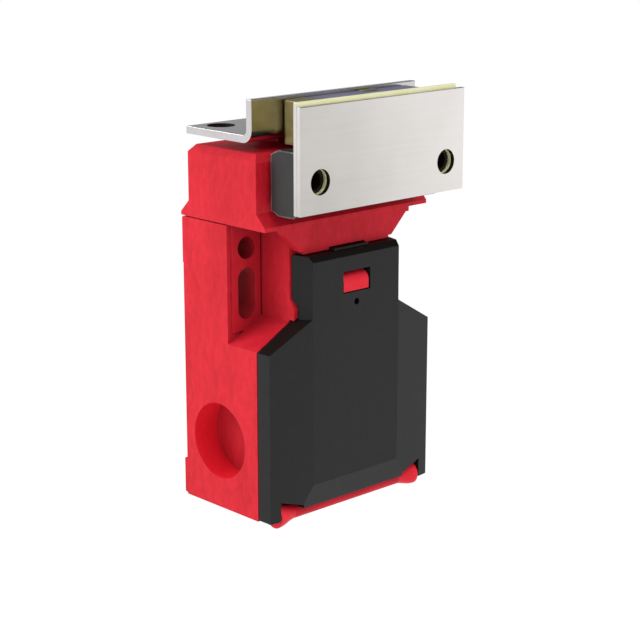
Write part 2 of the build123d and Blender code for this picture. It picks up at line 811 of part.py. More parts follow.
def bracket_screw():
    seat = bracket_under + bracket_thick
    top = seat + bracket_screw_head_h
    screw = rod_z(0, land_y, bracket_screw_r, head_top - 0.8, seat)
    screw += rod_z(0, land_y, bracket_screw_head_r, seat, top)
    socket = Plane.XY.offset(top - socket_depth + 0.5) * RegularPolygon(socket_r, 6)
    return screw - Pos(0, land_y, 0) * extrude(socket, amount=socket_depth)


pieces = {
    "housing": housing(),
    "head": head(),
    "head_gasket": head_gasket(),
    "head_screws": head_screws(),
    "cover": cover(),
    "cover_seal": cover_seal(),
    "cover_latch": cover_latch(),
    "cam": cam(),
    "cam_pin": cam_pin(),
    "cam_spacers": cam_spacers(),
    "plunger": plunger(),
    "contact_bridge": contact_bridge(),
    "plunger_spring": plunger_spring(),
    "contact_block": contact_block(),
    "fixed_contacts": fixed_contacts(),
    "terminal_clamps": terminal_clamps(),
    "terminal_screws": terminal_screws(),
    "block_screws": block_screws(),
    "earth_plate": earth_plate(),
    "earth_screw": earth_screw(),
    "front_plate": front_plate(),
    "backing_plate": backing_plate(),
    "actuator_carrier": carrier(),
    "carrier_screws": carrier_screws(),
    "tongue": tongue(),
    "tongue_pin": tongue_pin(),
    "magnet": magnet(),
    "magnet_holder": magnet_holder(),
    "guide_bracket": guide_bracket(),
    "bracket_screw": bracket_screw(),
}

for name, piece in pieces.items():
    if isinstance(piece, list):
        piece = Compound(children=piece)
    export_step(Pos(0, 0, -hole_height) * piece, f"parts/{name}.step")
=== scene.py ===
from math import pi, radians

import bpy
from mathutils import Matrix, Vector


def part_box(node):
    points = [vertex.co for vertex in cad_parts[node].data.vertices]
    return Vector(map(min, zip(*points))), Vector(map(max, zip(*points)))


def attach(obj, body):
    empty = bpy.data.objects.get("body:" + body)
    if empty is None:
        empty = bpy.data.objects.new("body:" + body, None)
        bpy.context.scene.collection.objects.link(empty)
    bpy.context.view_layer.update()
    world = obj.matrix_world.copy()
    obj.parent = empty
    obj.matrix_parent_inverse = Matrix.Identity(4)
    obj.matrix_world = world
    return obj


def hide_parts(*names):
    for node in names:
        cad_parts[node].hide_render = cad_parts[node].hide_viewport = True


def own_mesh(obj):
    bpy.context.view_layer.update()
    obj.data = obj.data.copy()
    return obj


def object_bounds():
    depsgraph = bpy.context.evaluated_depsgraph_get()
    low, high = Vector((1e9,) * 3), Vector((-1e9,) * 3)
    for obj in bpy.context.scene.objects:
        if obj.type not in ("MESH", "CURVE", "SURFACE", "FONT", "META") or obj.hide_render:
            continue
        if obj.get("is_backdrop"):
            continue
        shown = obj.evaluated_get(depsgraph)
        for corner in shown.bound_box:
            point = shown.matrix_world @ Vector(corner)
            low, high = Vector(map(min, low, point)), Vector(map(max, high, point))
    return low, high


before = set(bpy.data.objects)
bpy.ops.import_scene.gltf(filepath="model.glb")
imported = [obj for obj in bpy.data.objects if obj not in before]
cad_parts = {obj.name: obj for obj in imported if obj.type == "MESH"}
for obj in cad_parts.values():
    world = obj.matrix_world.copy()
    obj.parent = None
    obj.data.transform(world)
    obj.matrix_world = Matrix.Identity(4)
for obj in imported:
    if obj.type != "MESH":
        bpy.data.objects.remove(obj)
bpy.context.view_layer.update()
mm = 0.001


# Shader helpers

class Wire:
    # one output of a node, so that sums and products can be written as they are on paper
    def __init__(self, recipe, socket):
        self.recipe = recipe
        self.socket = socket

    def work(self, operation, first, second):
        return self.recipe.node("ShaderNodeMath", {"operation": operation}, {0: first, 1: second}).out(0)

    def __add__(self, other):
        return self.work("ADD", self, other)

    def __radd__(self, other):
        return self.work("ADD", other, self)

    def __sub__(self, other):
        return self.work("SUBTRACT", self, other)

    def __rsub__(self, other):
        return self.work("SUBTRACT", other, self)

    def __mul__(self, other):
        return self.work("MULTIPLY", self, other)

    def __rmul__(self, other):
        return self.work("MULTIPLY", other, self)

    def either(self, other):
        # the larger of the two: on masks, one or the other
        return self.work("MAXIMUM", self, other)


class Placed:
    # a node that stands in a tree
    def __init__(self, recipe, node):
        self.recipe = recipe
        self.node = node

    def out(self, key):
        return Wire(self.recipe, self.node.outputs[key])


class Recipe:
    # the node tree of a material or of the world
    def __init__(self, owner):
        owner.use_nodes = True
        self.owner = owner
        self.tree = owner.node_tree
        self.tree.nodes.clear()
        self.coordinates = self.node("ShaderNodeTexCoord", {}, {})
        self.objectPoint = self.coordinates.out("Object")

    def node(self, kind, settings, inputs):
        made = self.tree.nodes.new(kind)
        for key, value in settings.items():
            setattr(made, key, value)
        for key, value in inputs.items():
            if isinstance(value, Wire):
                self.tree.links.new(value.socket, made.inputs[key])
            else:
                made.inputs[key].default_value = value
        return Placed(self, made)

    def noise(self, scale, detail, roughness, stretch=(1, 1, 1)):
        # an uneven pattern that swings about 0.5
        place = self.node("ShaderNodeMapping", {}, {"Vector": self.objectPoint, "Scale": stretch}).out(0)
        return self.node("ShaderNodeTexNoise", {}, {"Vector": place, "Scale": scale, "Detail": detail,
                                                    "Roughness": roughness}).out(0)

    def between(self, value, low, high, atLow=0, atHigh=1):
        # 0 up to low and 1 from high on, unless told otherwise; low may be the larger of the two
        return self.node("ShaderNodeMapRange", {"clamp": True},
                         {"Value": value, "From Min": low, "From Max": high,
                          "To Min": atLow, "To Max": atHigh}).out(0)

    def dot(self, first, second):
        return self.node("ShaderNodeVectorMath", {"operation": "DOT_PRODUCT"},
                         {0: first, 1: second}).out("Value")

    def sweep(self, start, end):
        # 0 at the first place of the object, 1 at the second
        start, end = Vector(start), Vector(end)
        slope = (end - start) / (end - start).length_squared
        return self.between(self.dot(self.objectPoint, slope) - start.dot(slope), 0, 1)

    def mix(self, factor, first, second):
        # inputs 6 and 7 of a Mix node are its two colours, and output 2 is their blend
        return self.node("ShaderNodeMix", {"data_type": "RGBA"}, {0: factor, 6: first, 7: second}).out(2)

    def lie(self, direction):
        # how far a face of the object leans towards a direction, from -1 to 1
        return self.dot(self.coordinates.out("Normal"), Vector(direction).normalized())

    def recess(self, reach):
        # 1 deep in a corner or a hollow, 0 on open ground; the mask of painted shade
        clear = self.node("ShaderNodeAmbientOcclusion", {"samples": 6, "only_local": True},
                          {"Distance": reach}).out("AO")
        return 1 - clear

    def edges(self, radius, turn=(0.02, 0.2)):
        # 1 along edges and corners, 0 on flat ground
        rounded = self.node("ShaderNodeBevel", {"samples": 4}, {"Radius": radius}).out(0)
        flat = self.node("ShaderNodeNewGeometry", {}, {}).out("True Normal")
        return self.between(1 - self.dot(rounded, flat), *turn)

    def bump(self, height, strength, distance):
        return self.node("ShaderNodeBump", {}, {"Height": height, "Strength": strength,
                                                "Distance": distance}).out(0)

    def surface(self, sockets):
        shader = self.node("ShaderNodeBsdfPrincipled", {}, sockets).out(0)
        self.node("ShaderNodeOutputMaterial", {}, {"Surface": shader})
        return self.owner


def linear(red, green, blue):
    # screen values of 0 to 255 to the shader's own colour, by the sRGB curve
    parts = []
    for value in (red, green, blue):
        share = value / 255
        parts.append(share / 12.92 if share <= 0.04045 else ((share + 0.055) / 1.055) ** 2.4)
    return (*parts, 1.0)


# Finishes

# a pair gives the values at which an effect begins and is full
mouldPlan = {
    "flowShare": 0.6, "tone": (0.38, 0.62), "rubbedFleck": (0.3, 0.65), "litFacet": (0.03, 0.1),
    "shadedFacet": (-0.05, -0.75), "creviceReach": 0.9 * mm, "creviceDepth": (0.42, 0.8),
    "flowRough": 0.12, "rubbedPolish": 0.08, "grainHeight": 0.7, "flowStretch": (1.0, 1.0, 0.35),
    "fleckStretch": (1.0, 1.0, 0.5),
}
sheetPlan = {"cloudShare": 0.7, "tone": (0.35, 0.65), "cloudRough": 0.08, "lineHeight": 0.8}


def mouldedPlastic(name, look):
    # moulded thermoplastic: flow mottling, a fine grain, edges lightened partly by wear and partly as a
    # painted highlight, and, where the look asks for them, painted light and shade on leaning facets and
    # painted shade in pockets and crevices
    recipe = Recipe(bpy.data.materials.new(name))
    flow = recipe.noise(look["flowScale"], detail=4, roughness=0.6, stretch=mouldPlan["flowStretch"])
    grain = recipe.noise(look["grainScale"], detail=2, roughness=0.6)
    fleck = recipe.noise(look["fleckScale"], detail=3, roughness=0.7, stretch=mouldPlan["fleckStretch"])
    flowShare = mouldPlan["flowShare"]
    tone = recipe.between(flow * flowShare + fleck * (1 - flowShare), *mouldPlan["tone"])
    body = recipe.mix(tone, look["deep"], look["pale"])
    # edges lightened partly by wear and partly as a painted highlight
    rubbed = recipe.edges(look["edgeRadius"]) * recipe.between(fleck, *mouldPlan["rubbedFleck"])
    # painted light and shade: faces that lean towards the given direction take the lit colour, faces that
    # lean away take the shaded one
    if "facets" in look:
        shaded, lit = look["facets"]
        lie = recipe.lie(look["facetsTo"])
        body = recipe.mix(recipe.between(lie, *mouldPlan["litFacet"]), body, lit)
        body = recipe.mix(recipe.between(lie, *mouldPlan["shadedFacet"]), body, shaded)
    # painted shade: the red darkens in pockets and darkens more in narrow crevices
    if "paintedPocketShade" in look:
        body = recipe.mix(recipe.recess(look["pocketReach"]) * look["pocketShare"], body, look["paintedPocketShade"])
        narrow = recipe.between(recipe.recess(mouldPlan["creviceReach"]), *mouldPlan["creviceDepth"])
        body = recipe.mix(narrow, body, look["paintedCreviceShade"])
    colour = recipe.mix(rubbed * look["rub"], body, look["rubbed"])
    rough = (look["rough"] + (grain - 0.5) * look["roughSpread"] + (flow - 0.5) * mouldPlan["flowRough"]
             - rubbed * mouldPlan["rubbedPolish"])
    grainHeight = mouldPlan["grainHeight"]
    height = grain * grainHeight + fleck * (1 - grainHeight)
    return recipe.surface({"Base Color": colour, "Roughness": rough, "Specular IOR Level": look["specular"],
                           "Normal": recipe.bump(height, look["bump"], look["bumpDepth"])})


def rolledSheet(name, look):
    # metal with fine lines along its rolling or brushing, faint cloudiness, and edges lightened partly by
    # wear and partly as a painted highlight
    recipe = Recipe(bpy.data.materials.new(name))
    lines = recipe.noise(look["lineScale"], detail=3, roughness=0.65, stretch=look["lineStretch"])
    cloud = recipe.noise(look["cloudScale"], detail=3, roughness=0.55)
    # edges lightened partly by wear and partly as a painted highlight
    edgeWearAndGlint = recipe.edges(look["edgeRadius"])
    cloudShare = sheetPlan["cloudShare"]
    tone = recipe.between(cloud * cloudShare + lines * (1 - cloudShare), *sheetPlan["tone"])
    # painted light: the tone is pulled along a sweep across the piece
    if "sweep" in look:
        tone = tone * (1 - look["sweepShare"]) + recipe.sweep(*look["sweep"]) * look["sweepShare"]
    body = recipe.mix(tone, look["deep"], look["pale"])
    colour = recipe.mix(edgeWearAndGlint * look["edgeShare"], body, look["edge"])
    rough = look["rough"] + (lines - 0.5) * look["lineRough"] + (cloud - 0.5) * sheetPlan["cloudRough"]
    lineHeight = sheetPlan["lineHeight"]
    height = lines * lineHeight + cloud * (1 - lineHeight)
    return recipe.surface({"Base Color": colour, "Roughness": rough, "Metallic": look.get("metal", 1.0),
                           "Normal": recipe.bump(height, look["bump"], look["bumpDepth"])})


def softSeal(name, look):
    # moulded rubber with a dusty bloom
    recipe = Recipe(bpy.data.materials.new(name))
    dust = recipe.noise(look["dustScale"], detail=4, roughness=0.6)
    grain = recipe.noise(look["grainScale"], detail=2, roughness=0.5)
    colour = recipe.mix(recipe.between(dust, *look["dusty"]) * look["dust"], look["body"], look["bloom"])
    rough = look["rough"] + (dust - 0.5) * look["dustRough"]
    return recipe.surface({"Base Color": colour, "Roughness": rough, "Specular IOR Level": look["specular"],
                           "Normal": recipe.bump(grain, look["bump"], look["bumpDepth"])})


redLook = {
    "deep": linear(197, 21, 38), "pale": linear(223, 36, 53), "rubbed": linear(236, 76, 90),
    "flowScale": 90, "grainScale": 3200, "fleckScale": 700, "edgeRadius": 0.4 * mm, "rub": 0.35,
    "rough": 0.54, "roughSpread": 0.2, "specular": 0.18, "bump": 0.25, "bumpDepth": 0.00003,
    # colours of the painted shade in pockets and crevices
    "paintedPocketShade": linear(150, 32, 42), "pocketReach": 16 * mm, "pocketShare": 0.8, "paintedCreviceShade": linear(70, 4, 8),
}
# a brighter copy of the red: painted light on the latch, the rail's flares and the entry's walls
paintedLightRedLook = {
    "deep": linear(232, 34, 52), "pale": linear(240, 44, 62), "rubbed": linear(250, 84, 98),
    "flowScale": 130, "grainScale": 3200, "fleckScale": 900, "edgeRadius": 0.3 * mm, "rub": 0.3,
    "rough": 0.45, "roughSpread": 0.15, "specular": 0.15, "bump": 0.2, "bumpDepth": 0.00002,
}
charcoalLook = {
    "deep": linear(26, 26, 26), "pale": linear(30, 30, 30), "rubbed": linear(68, 68, 69),
    "flowScale": 110, "grainScale": 2600, "fleckScale": 900, "edgeRadius": 0.35 * mm, "rub": 0.4,
    "rough": 0.55, "roughSpread": 0.25, "specular": 0.3, "bump": 0.3, "bumpDepth": 0.00003,
    # painted light and shade on the cover's facets, by how they lean
    "facetsTo": (0.5, 0, -1.2), "facets": (linear(10, 8, 8), linear(46, 46, 46)),
}
# the grey's pale edge colour is a painted highlight along its edges
greyLook = {
    "deep": linear(43, 43, 44), "pale": linear(49, 49, 50), "rubbed": linear(184, 188, 188),
    "flowScale": 130, "grainScale": 2200, "fleckScale": 800, "edgeRadius": 0.6 * mm, "rub": 1.0,
    "rough": 0.5, "roughSpread": 0.2, "specular": 0.35, "bump": 0.25, "bumpDepth": 0.00003,
}
ivoryLook = {
    "deep": linear(206, 200, 184), "pale": linear(220, 215, 200), "rubbed": linear(236, 232, 222),
    "flowScale": 150, "grainScale": 2600, "fleckScale": 900, "edgeRadius": 0.3 * mm, "rub": 0.3,
    "rough": 0.45, "roughSpread": 0.15, "specular": 0.4, "bump": 0.2, "bumpDepth": 0.00002,
}
satinLook = {
    "deep": linear(192, 188, 184), "pale": linear(252, 248, 245), "edge": linear(222, 219, 216),
    # the sweep paints light across the plate: darker at its lower left, lighter at its upper right
    "sweep": ((-26 * mm, 0, 10 * mm), (26 * mm, 0, 36 * mm)), "sweepShare": 0.75,
    "lineScale": 900, "lineStretch": (0.04, 1.0, 1.0), "cloudScale": 40, "edgeRadius": 0.2 * mm,
    "edgeShare": 0.5, "rough": 0.36, "lineRough": 0.14, "bump": 0.12, "bumpDepth": 0.00002,
}
polishedLook = {
    "deep": linear(198, 194, 195), "pale": linear(212, 209, 210), "edge": linear(222, 220, 219),
    "lineScale": 1100, "lineStretch": (0.05, 1.0, 1.0), "cloudScale": 60, "edgeRadius": 0.2 * mm,
    "edgeShare": 0.5, "rough": 0.2, "lineRough": 0.1, "bump": 0.1, "bumpDepth": 0.00002,
}
yellowLook = {
    "deep": linear(247, 245, 180), "pale": linear(254, 253, 212), "edge": linear(255, 255, 230),
    "lineScale": 700, "lineStretch": (0.15, 1.0, 1.0), "cloudScale": 160, "edgeRadius": 0.25 * mm,
    "edgeShare": 0.4, "rough": 0.34, "lineRough": 0.12, "bump": 0.15, "bumpDepth": 0.00002, "metal": 0.15,
}
# a darker copy of the yellow zinc: painted shade on the magnet tray and its clip
yellowPaintedShadeLook = {
    "deep": linear(130, 118, 70), "pale": linear(156, 144, 92), "edge": linear(204, 197, 142),
    "lineScale": 500, "lineStretch": (0.3, 1.0, 1.0), "cloudScale": 190, "edgeRadius": 0.3 * mm,
    "edgeShare": 0.5, "rough": 0.3, "lineRough": 0.12, "bump": 0.15, "bumpDepth": 0.00002, "metal": 0.6,
}
magnetLook = {
    "deep": linear(120, 122, 148), "pale": linear(144, 146, 170), "edge": linear(176, 177, 192),
    "lineScale": 800, "lineStretch": (1.0, 0.08, 1.0), "cloudScale": 120, "edgeRadius": 0.25 * mm,
    "edgeShare": 0.4, "rough": 0.42, "lineRough": 0.2, "bump": 0.25, "bumpDepth": 0.00003, "metal": 0.35,
}
zincLook = {
    "deep": linear(176, 178, 184), "pale": linear(206, 208, 212), "edge": linear(230, 231, 234),
    "lineScale": 1500, "lineStretch": (1.0, 1.0, 1.0), "cloudScale": 300, "edgeRadius": 0.12 * mm,
    "edgeShare": 0.5, "rough": 0.3, "lineRough": 0.15, "bump": 0.15, "bumpDepth": 0.00001,
}
toolSteelLook = {
    "deep": linear(150, 150, 154), "pale": linear(176, 177, 180), "edge": linear(210, 211, 214),
    "lineScale": 1200, "lineStretch": (1.0, 0.06, 1.0), "cloudScale": 140, "edgeRadius": 0.2 * mm,
    "edgeShare": 0.5, "rough": 0.32, "lineRough": 0.16, "bump": 0.2, "bumpDepth": 0.00002,
}
# painted shade: the dark finish of hole walls and hole mouths
paintedBoreShadeLook = {
    "deep": linear(20, 16, 12), "pale": linear(44, 34, 24), "edge": linear(70, 60, 46),
    "lineScale": 900, "lineStretch": (1.0, 3.0, 1.0), "cloudScale": 420, "edgeRadius": 0.1 * mm,
    "edgeShare": 0.4, "rough": 0.6, "lineRough": 0.2, "bump": 0.3, "bumpDepth": 0.00003, "metal": 0.5,
}
brassLook = {
    "deep": linear(196, 158, 84), "pale": linear(222, 190, 116), "edge": linear(240, 214, 150),
    "lineScale": 1300, "lineStretch": (1.0, 0.2, 1.0), "cloudScale": 260, "edgeRadius": 0.12 * mm,
    "edgeShare": 0.5, "rough": 0.3, "lineRough": 0.14, "bump": 0.12, "bumpDepth": 0.00001,
}
sealLook = {
    "body": linear(24, 24, 25), "bloom": linear(62, 61, 60), "dust": 0.5, "dustScale": 400,
    "dusty": (0.45, 0.7), "dustRough": 0.2, "grainScale": 3000, "rough": 0.75, "specular": 0.3,
    "bump": 0.3, "bumpDepth": 0.00004,
}

finishes = {
    "redPlastic": mouldedPlastic("redPlastic", redLook),
    "paintedLightRed": mouldedPlastic("paintedLightRed", paintedLightRedLook),
    "charcoalPlastic": mouldedPlastic("charcoalPlastic", charcoalLook),
    "greyPlastic": mouldedPlastic("greyPlastic", greyLook),
    "ivoryPlastic": mouldedPlastic("ivoryPlastic", ivoryLook),
    "satinSheet": rolledSheet("satinSheet", satinLook),
    "polishedSheet": rolledSheet("polishedSheet", polishedLook),
    "yellowZinc": rolledSheet("yellowZinc", yellowLook),
    "yellowZincPaintedShade": rolledSheet("yellowZincPaintedShade", yellowPaintedShadeLook),
    "magnetBlock": rolledSheet("magnetBlock", magnetLook),
    "zincSteel": rolledSheet("zincSteel", zincLook),
    "toolSteel": rolledSheet("toolSteel", toolSteelLook),
    "paintedBoreShade": rolledSheet("paintedBoreShade", paintedBoreShadeLook),
    "brass": rolledSheet("brass", brassLook),
    "seal": softSeal("seal", sealLook),
}
print("finishes:", len(finishes))


# Modelling helpers

# angles in degrees
mergePlan = {"reach": 0.002 * mm, "flatWithin": 0.6}
roundPlan = {"segments": 2, "bevelOver": 28, "smoothUnder": 44, "flatWeight": 90}
plainPlan = {"smoothUnder": 35}
creasePlan = {"over": 1.5, "broadFace": 12 * mm * mm}


def clearSelection():
    for obj in list(bpy.context.selected_objects):
        obj.select_set(False)


def takeUp(obj):
    clearSelection()
    obj.select_set(True)
    bpy.context.view_layer.objects.active = obj


def enlist(obj, plan):
    # a piece's finish, put in its one material slot, and the body that it rides on
    obj.data.materials.clear()
    obj.data.materials.append(finishes[plan["finish"]])
    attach(obj, plan["body"])


def keepCreases(obj):
    # broad facets of a moulding stay flat up to the shallow crease between them
    beside = {}
    for face in obj.data.polygons:
        for key in face.edge_keys:
            beside.setdefault(key, []).append(face)
    for edge in obj.data.edges:
        faces = beside[edge.key]
        if len(faces) == 2 and min(face.area for face in faces) > creasePlan["broadFace"]:
            if faces[0].normal.angle(faces[1].normal, 0) > radians(creasePlan["over"]):
                edge.use_edge_sharp = True


def softenEdges(obj, plan):
    # a small round along every edge, with the flats kept flat in their shading
    takeUp(obj)
    bpy.ops.object.modifier_add(type="BEVEL")
    bevel = obj.modifiers[-1]
    bevel.width = plan["edge"]
    bevel.segments = plan.get("segments", roundPlan["segments"])
    bevel.limit_method = "ANGLE"
    bevel.angle_limit = radians(plan.get("bevelOver", roundPlan["bevelOver"]))
    bevel.use_clamp_overlap = True
    bevel.miter_outer = "MITER_ARC"
    bpy.ops.object.modifier_apply(modifier=bevel.name)
    bpy.ops.object.shade_smooth_by_angle(angle=radians(roundPlan["smoothUnder"]))
    keepCreases(obj)
    bpy.ops.object.modifier_add(type="WEIGHTED_NORMAL")
    weighted = obj.modifiers[-1]
    weighted.keep_sharp = True
    weighted.weight = roundPlan["flatWeight"]
    bpy.ops.object.modifier_apply(modifier=weighted.name)


def fromNode(plan):
    # a dressed copy of a solid of the frame, with its triangles merged back to whole faces
    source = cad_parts[plan["node"]]
    obj = bpy.data.objects.new(plan["name"], source.data.copy())
    bpy.context.scene.collection.objects.link(obj)
    takeUp(obj)
    bpy.ops.object.mode_set(mode="EDIT")
    bpy.ops.mesh.select_all(action="SELECT")
    bpy.ops.mesh.remove_doubles(threshold=mergePlan["reach"])
    bpy.ops.mesh.customdata_custom_splitnormals_clear()
    bpy.ops.mesh.select_all(action="SELECT")
    bpy.ops.mesh.dissolve_limited(angle_limit=radians(mergePlan["flatWithin"]))
    bpy.ops.object.mode_set(mode="OBJECT")
    if "edge" in plan:
        softenEdges(obj, plan)
    else:
        bpy.ops.object.shade_smooth_by_angle(angle=radians(plainPlan["smoothUnder"]))
    enlist(obj, plan)
    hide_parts(plan["node"])
    return obj


def finishFaces(obj, finish, chosen):
    # a further finish on the chosen faces of a piece
    obj.data.materials.append(finishes[finish])
    for face in obj.data.polygons:
        if chosen(face):
            face.material_index = len(obj.data.materials) - 1


def finishBores(obj, places, reach, finish, along=1, lean=0.5):
    # walls of the holes that run along one axis, front to back unless told otherwise
    across = [axis for axis in range(3) if axis != along]

    def onWall(face):
        offs = [Vector([face.center[axis] - place[axis] for axis in across]) for place in places]
        return abs(face.normal[along]) < lean and min(off.length for off in offs) < reach

    finishFaces(obj, finish, onWall)


def copyTo(model, plan, places):
    # copies of a piece modelled once at the middle, each with its own mesh
    for i, place in enumerate(places):
        copy = bpy.data.objects.new(plan["name"] + str(i + 1), model.data.copy())
        bpy.context.scene.collection.objects.link(copy)
        copy.data.transform(Matrix.Translation(place))
        enlist(copy, plan)
    bpy.data.objects.remove(model, do_unlink=True)


# Housing, head and the seam between them

housingPlan = {"node": "housing", "name": "housingShell", "body": "base", "edge": 0.28 * mm,
               "finish": "redPlastic", "slot": "red_plastic"}
headPlan = {"node": "head", "name": "headShell", "body": "base", "edge": 0.3 * mm,
            "finish": "redPlastic", "slot": "red_plastic"}
gasketPlan = {"node": "head_gasket", "name": "headSeal", "body": "base",
              "finish": "seal", "slot": "rubber_seal"}
entryPlan = {"axis": (0, -13.1 * mm, -46.4 * mm), "reach": 9.4 * mm, "finish": "paintedLightRed"}
railPlan = {"front": -26.9 * mm, "top": 8 * mm, "flareFrom": 10 * mm, "finish": "paintedLightRed"}


def smoothAndLightenFlares(obj, plan):
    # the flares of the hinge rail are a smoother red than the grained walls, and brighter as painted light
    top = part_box("housing")[0].z + plan["top"]

    def onFlare(face):
        low, inFront = face.center.z < top, face.center.y < plan["front"]
        return low and inFront and abs(face.center.x) > plan["flareFrom"]

    finishFaces(obj, plan["finish"], onFlare)


housingShell = fromNode(housingPlan)
smoothAndLightenFlares(housingShell, railPlan)
# the entry's walls take the brighter red copy, as painted light
finishBores(housingShell, [entryPlan["axis"]], entryPlan["reach"], entryPlan["finish"], along=0)
fromNode(headPlan)
fromNode(gasketPlan)
print("housing and head made")

# Cover and latch

coverPlan = {"node": "cover", "name": "coverShell", "body": "cover", "edge": 0.22 * mm, "bevelOver": 12,
             "finish": "charcoalPlastic", "slot": "black_plastic"}
coverSealPlan = {"node": "cover_seal", "name": "coverSeal", "body": "cover", "edge": 0.2 * mm,
                 "finish": "seal", "slot": "rubber_seal"}
# the latch takes the brighter red copy, as painted light
latchPlan = {"node": "cover_latch", "name": "latchArm", "body": "latch", "edge": 0.2 * mm,
             "finish": "paintedLightRed", "slot": "red_plastic"}
fromNode(coverPlan)
fromNode(coverSealPlan)
fromNode(latchPlan)
print("cover and latch made")

# Door side actuator

frontPlatePlan = {"node": "front_plate", "name": "doorPlate", "body": "actuator", "edge": 0.12 * mm,
                  "finish": "satinSheet", "slot": "stainless"}
backingPlan = {"node": "backing_plate", "name": "backingSheet", "body": "actuator", "edge": 0.12 * mm,
               "finish": "yellowZinc", "slot": "passivated", "endFinish": "satinSheet", "endDepth": 0.3 * mm}
carrierPlan = {"node": "actuator_carrier", "name": "tongueCarrier", "body": "actuator",
               "edge": 0.25 * mm, "finish": "greyPlastic", "slot": "grey_plastic"}
magnetPlan = {"node": "magnet", "name": "magnetBar", "body": "actuator", "edge": 0.3 * mm,
              "finish": "magnetBlock", "slot": "ferrite"}
# the tray and its clip take the yellow zinc's darker copy, as painted shade
trayPlan = {"node": "magnet_holder", "name": "magnetTray", "body": "actuator", "edge": 0.2 * mm,
            "finish": "yellowZincPaintedShade", "slot": "passivated"}
tonguePlan = {"node": "tongue", "name": "actuatorTongue", "body": "actuator", "edge": 0.2 * mm,
              "finish": "toolSteel", "slot": "steel"}
# the holes' walls and the rings at their mouths take painted shade
doorHolePlan = {"spacing": 40 * mm, "rise": 7.05 * mm, "reach": 2.88 * mm, "finish": "paintedBoreShade"}
threadMouthShadePlan = {"name": "threadMouthShade", "body": "actuator", "finish": "paintedBoreShade", "slot": "steel",
            "outer": 2.8 * mm, "inner": 2.12 * mm, "thick": 0.14 * mm, "sides": 48,
            "edge": 0.03 * mm, "segments": 1, "bevelOver": 40}
clipPlan = {"name": "magnetClip", "body": "actuator", "finish": "yellowZincPaintedShade", "slot": "passivated",
            "left": 6.2 * mm, "right": 11.2 * mm, "back": 0.2 * mm, "deep": 2.3 * mm, "thick": 0.22 * mm,
            "corner": 0.9 * mm, "cornerSteps": 6, "edge": 0.1 * mm, "bevelOver": 40}


def bareEnds(obj, plan):
    # the photograph shows the sheet's left end as grey as the plate before it
    left = min(vertex.co.x for vertex in obj.data.vertices)
    right = max(vertex.co.x for vertex in obj.data.vertices)
    finishFaces(obj, plan["endFinish"],
                lambda face: min(face.center.x - left, right - face.center.x) < plan["endDepth"])


def makeThreadMouthShade(plan):
    # dark ring at the mouth of a threaded hole, painted shade that darkens the hole
    clearSelection()
    bpy.ops.mesh.primitive_cylinder_add(vertices=plan["sides"], radius=plan["outer"], depth=plan["thick"],
                                        end_fill_type="NGON", location=(0, 0, 0))
    ring = bpy.context.object
    bpy.ops.object.mode_set(mode="EDIT")
    bpy.ops.mesh.select_mode(type="FACE")
    bpy.ops.mesh.select_all(action="DESELECT")
    bpy.ops.object.mode_set(mode="OBJECT")
    for face in ring.data.polygons:
        face.select = round(abs(face.normal.z)) == 1  # the two flat ends
    bpy.ops.object.mode_set(mode="EDIT")
    bpy.ops.mesh.inset(thickness=plan["outer"] - plan["inner"])
    bpy.ops.mesh.bridge_edge_loops()
    bpy.ops.mesh.select_all(action="SELECT")
    bpy.ops.transform.rotate(value=pi / 2, orient_axis="X", center_override=(0, 0, 0))
    bpy.ops.transform.translate(value=(0, -plan["thick"] / 2, 0))
    bpy.ops.object.mode_set(mode="OBJECT")
    softenEdges(ring, plan)
    return ring


def makeClip(plan, magnetTop):
    # lug of the tray that lies on the magnet by its back edge, with its two front corners rounded
    clearSelection()
    bpy.ops.mesh.primitive_cube_add(size=1, location=(0, 0, 0))
    clip = bpy.context.object
    clip.name = plan["name"]
    wide, deep, thick = plan["right"] - plan["left"], plan["deep"], plan["thick"]
    middle = Vector(((plan["left"] + plan["right"]) / 2, magnetTop.y - plan["back"] - deep / 2,
                     magnetTop.z + thick / 2))
    bpy.ops.object.mode_set(mode="EDIT")
    bpy.ops.mesh.select_all(action="SELECT")
    bpy.ops.transform.resize(value=(wide, deep, thick))
    bpy.ops.transform.translate(value=middle)
    bpy.ops.mesh.select_mode(type="EDGE")
    bpy.ops.mesh.select_all(action="DESELECT")
    bpy.ops.object.mode_set(mode="OBJECT")
    for edge in clip.data.edges:
        ends = [clip.data.vertices[i].co for i in edge.vertices]
        upright = abs(ends[0].z - ends[1].z) > thick / 2
        edge.select = upright and ends[0].y < middle.y
    bpy.ops.object.mode_set(mode="EDIT")
    bpy.ops.mesh.bevel(offset=plan["corner"], segments=plan["cornerSteps"], affect="EDGES")
    bpy.ops.object.mode_set(mode="OBJECT")
    softenEdges(clip, plan)
    enlist(clip, plan)


doorPlate = fromNode(frontPlatePlan)
backingSheet = fromNode(backingPlan)
bareEnds(backingSheet, backingPlan)
tongueCarrier = fromNode(carrierPlan)
fromNode(magnetPlan)
fromNode(trayPlan)
fromNode(tonguePlan)

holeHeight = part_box("front_plate")[0].z + doorHolePlan["rise"]
doorHoles = [Vector((side * doorHolePlan["spacing"] / 2, 0, holeHeight)) for side in (-1, 1)]
# painted shade on the walls of the plate's and carrier's holes
for drilled in (doorPlate, tongueCarrier):
    finishBores(drilled, doorHoles, doorHolePlan["reach"], doorHolePlan["finish"])

carrierFront = Vector((0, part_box("actuator_carrier")[0].y, 0))
copyTo(makeThreadMouthShade(threadMouthShadePlan), threadMouthShadePlan, [hole + carrierFront for hole in doorHoles])
makeClip(clipPlan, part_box("magnet")[1])
print("actuator made")

# Bracket on the machine side

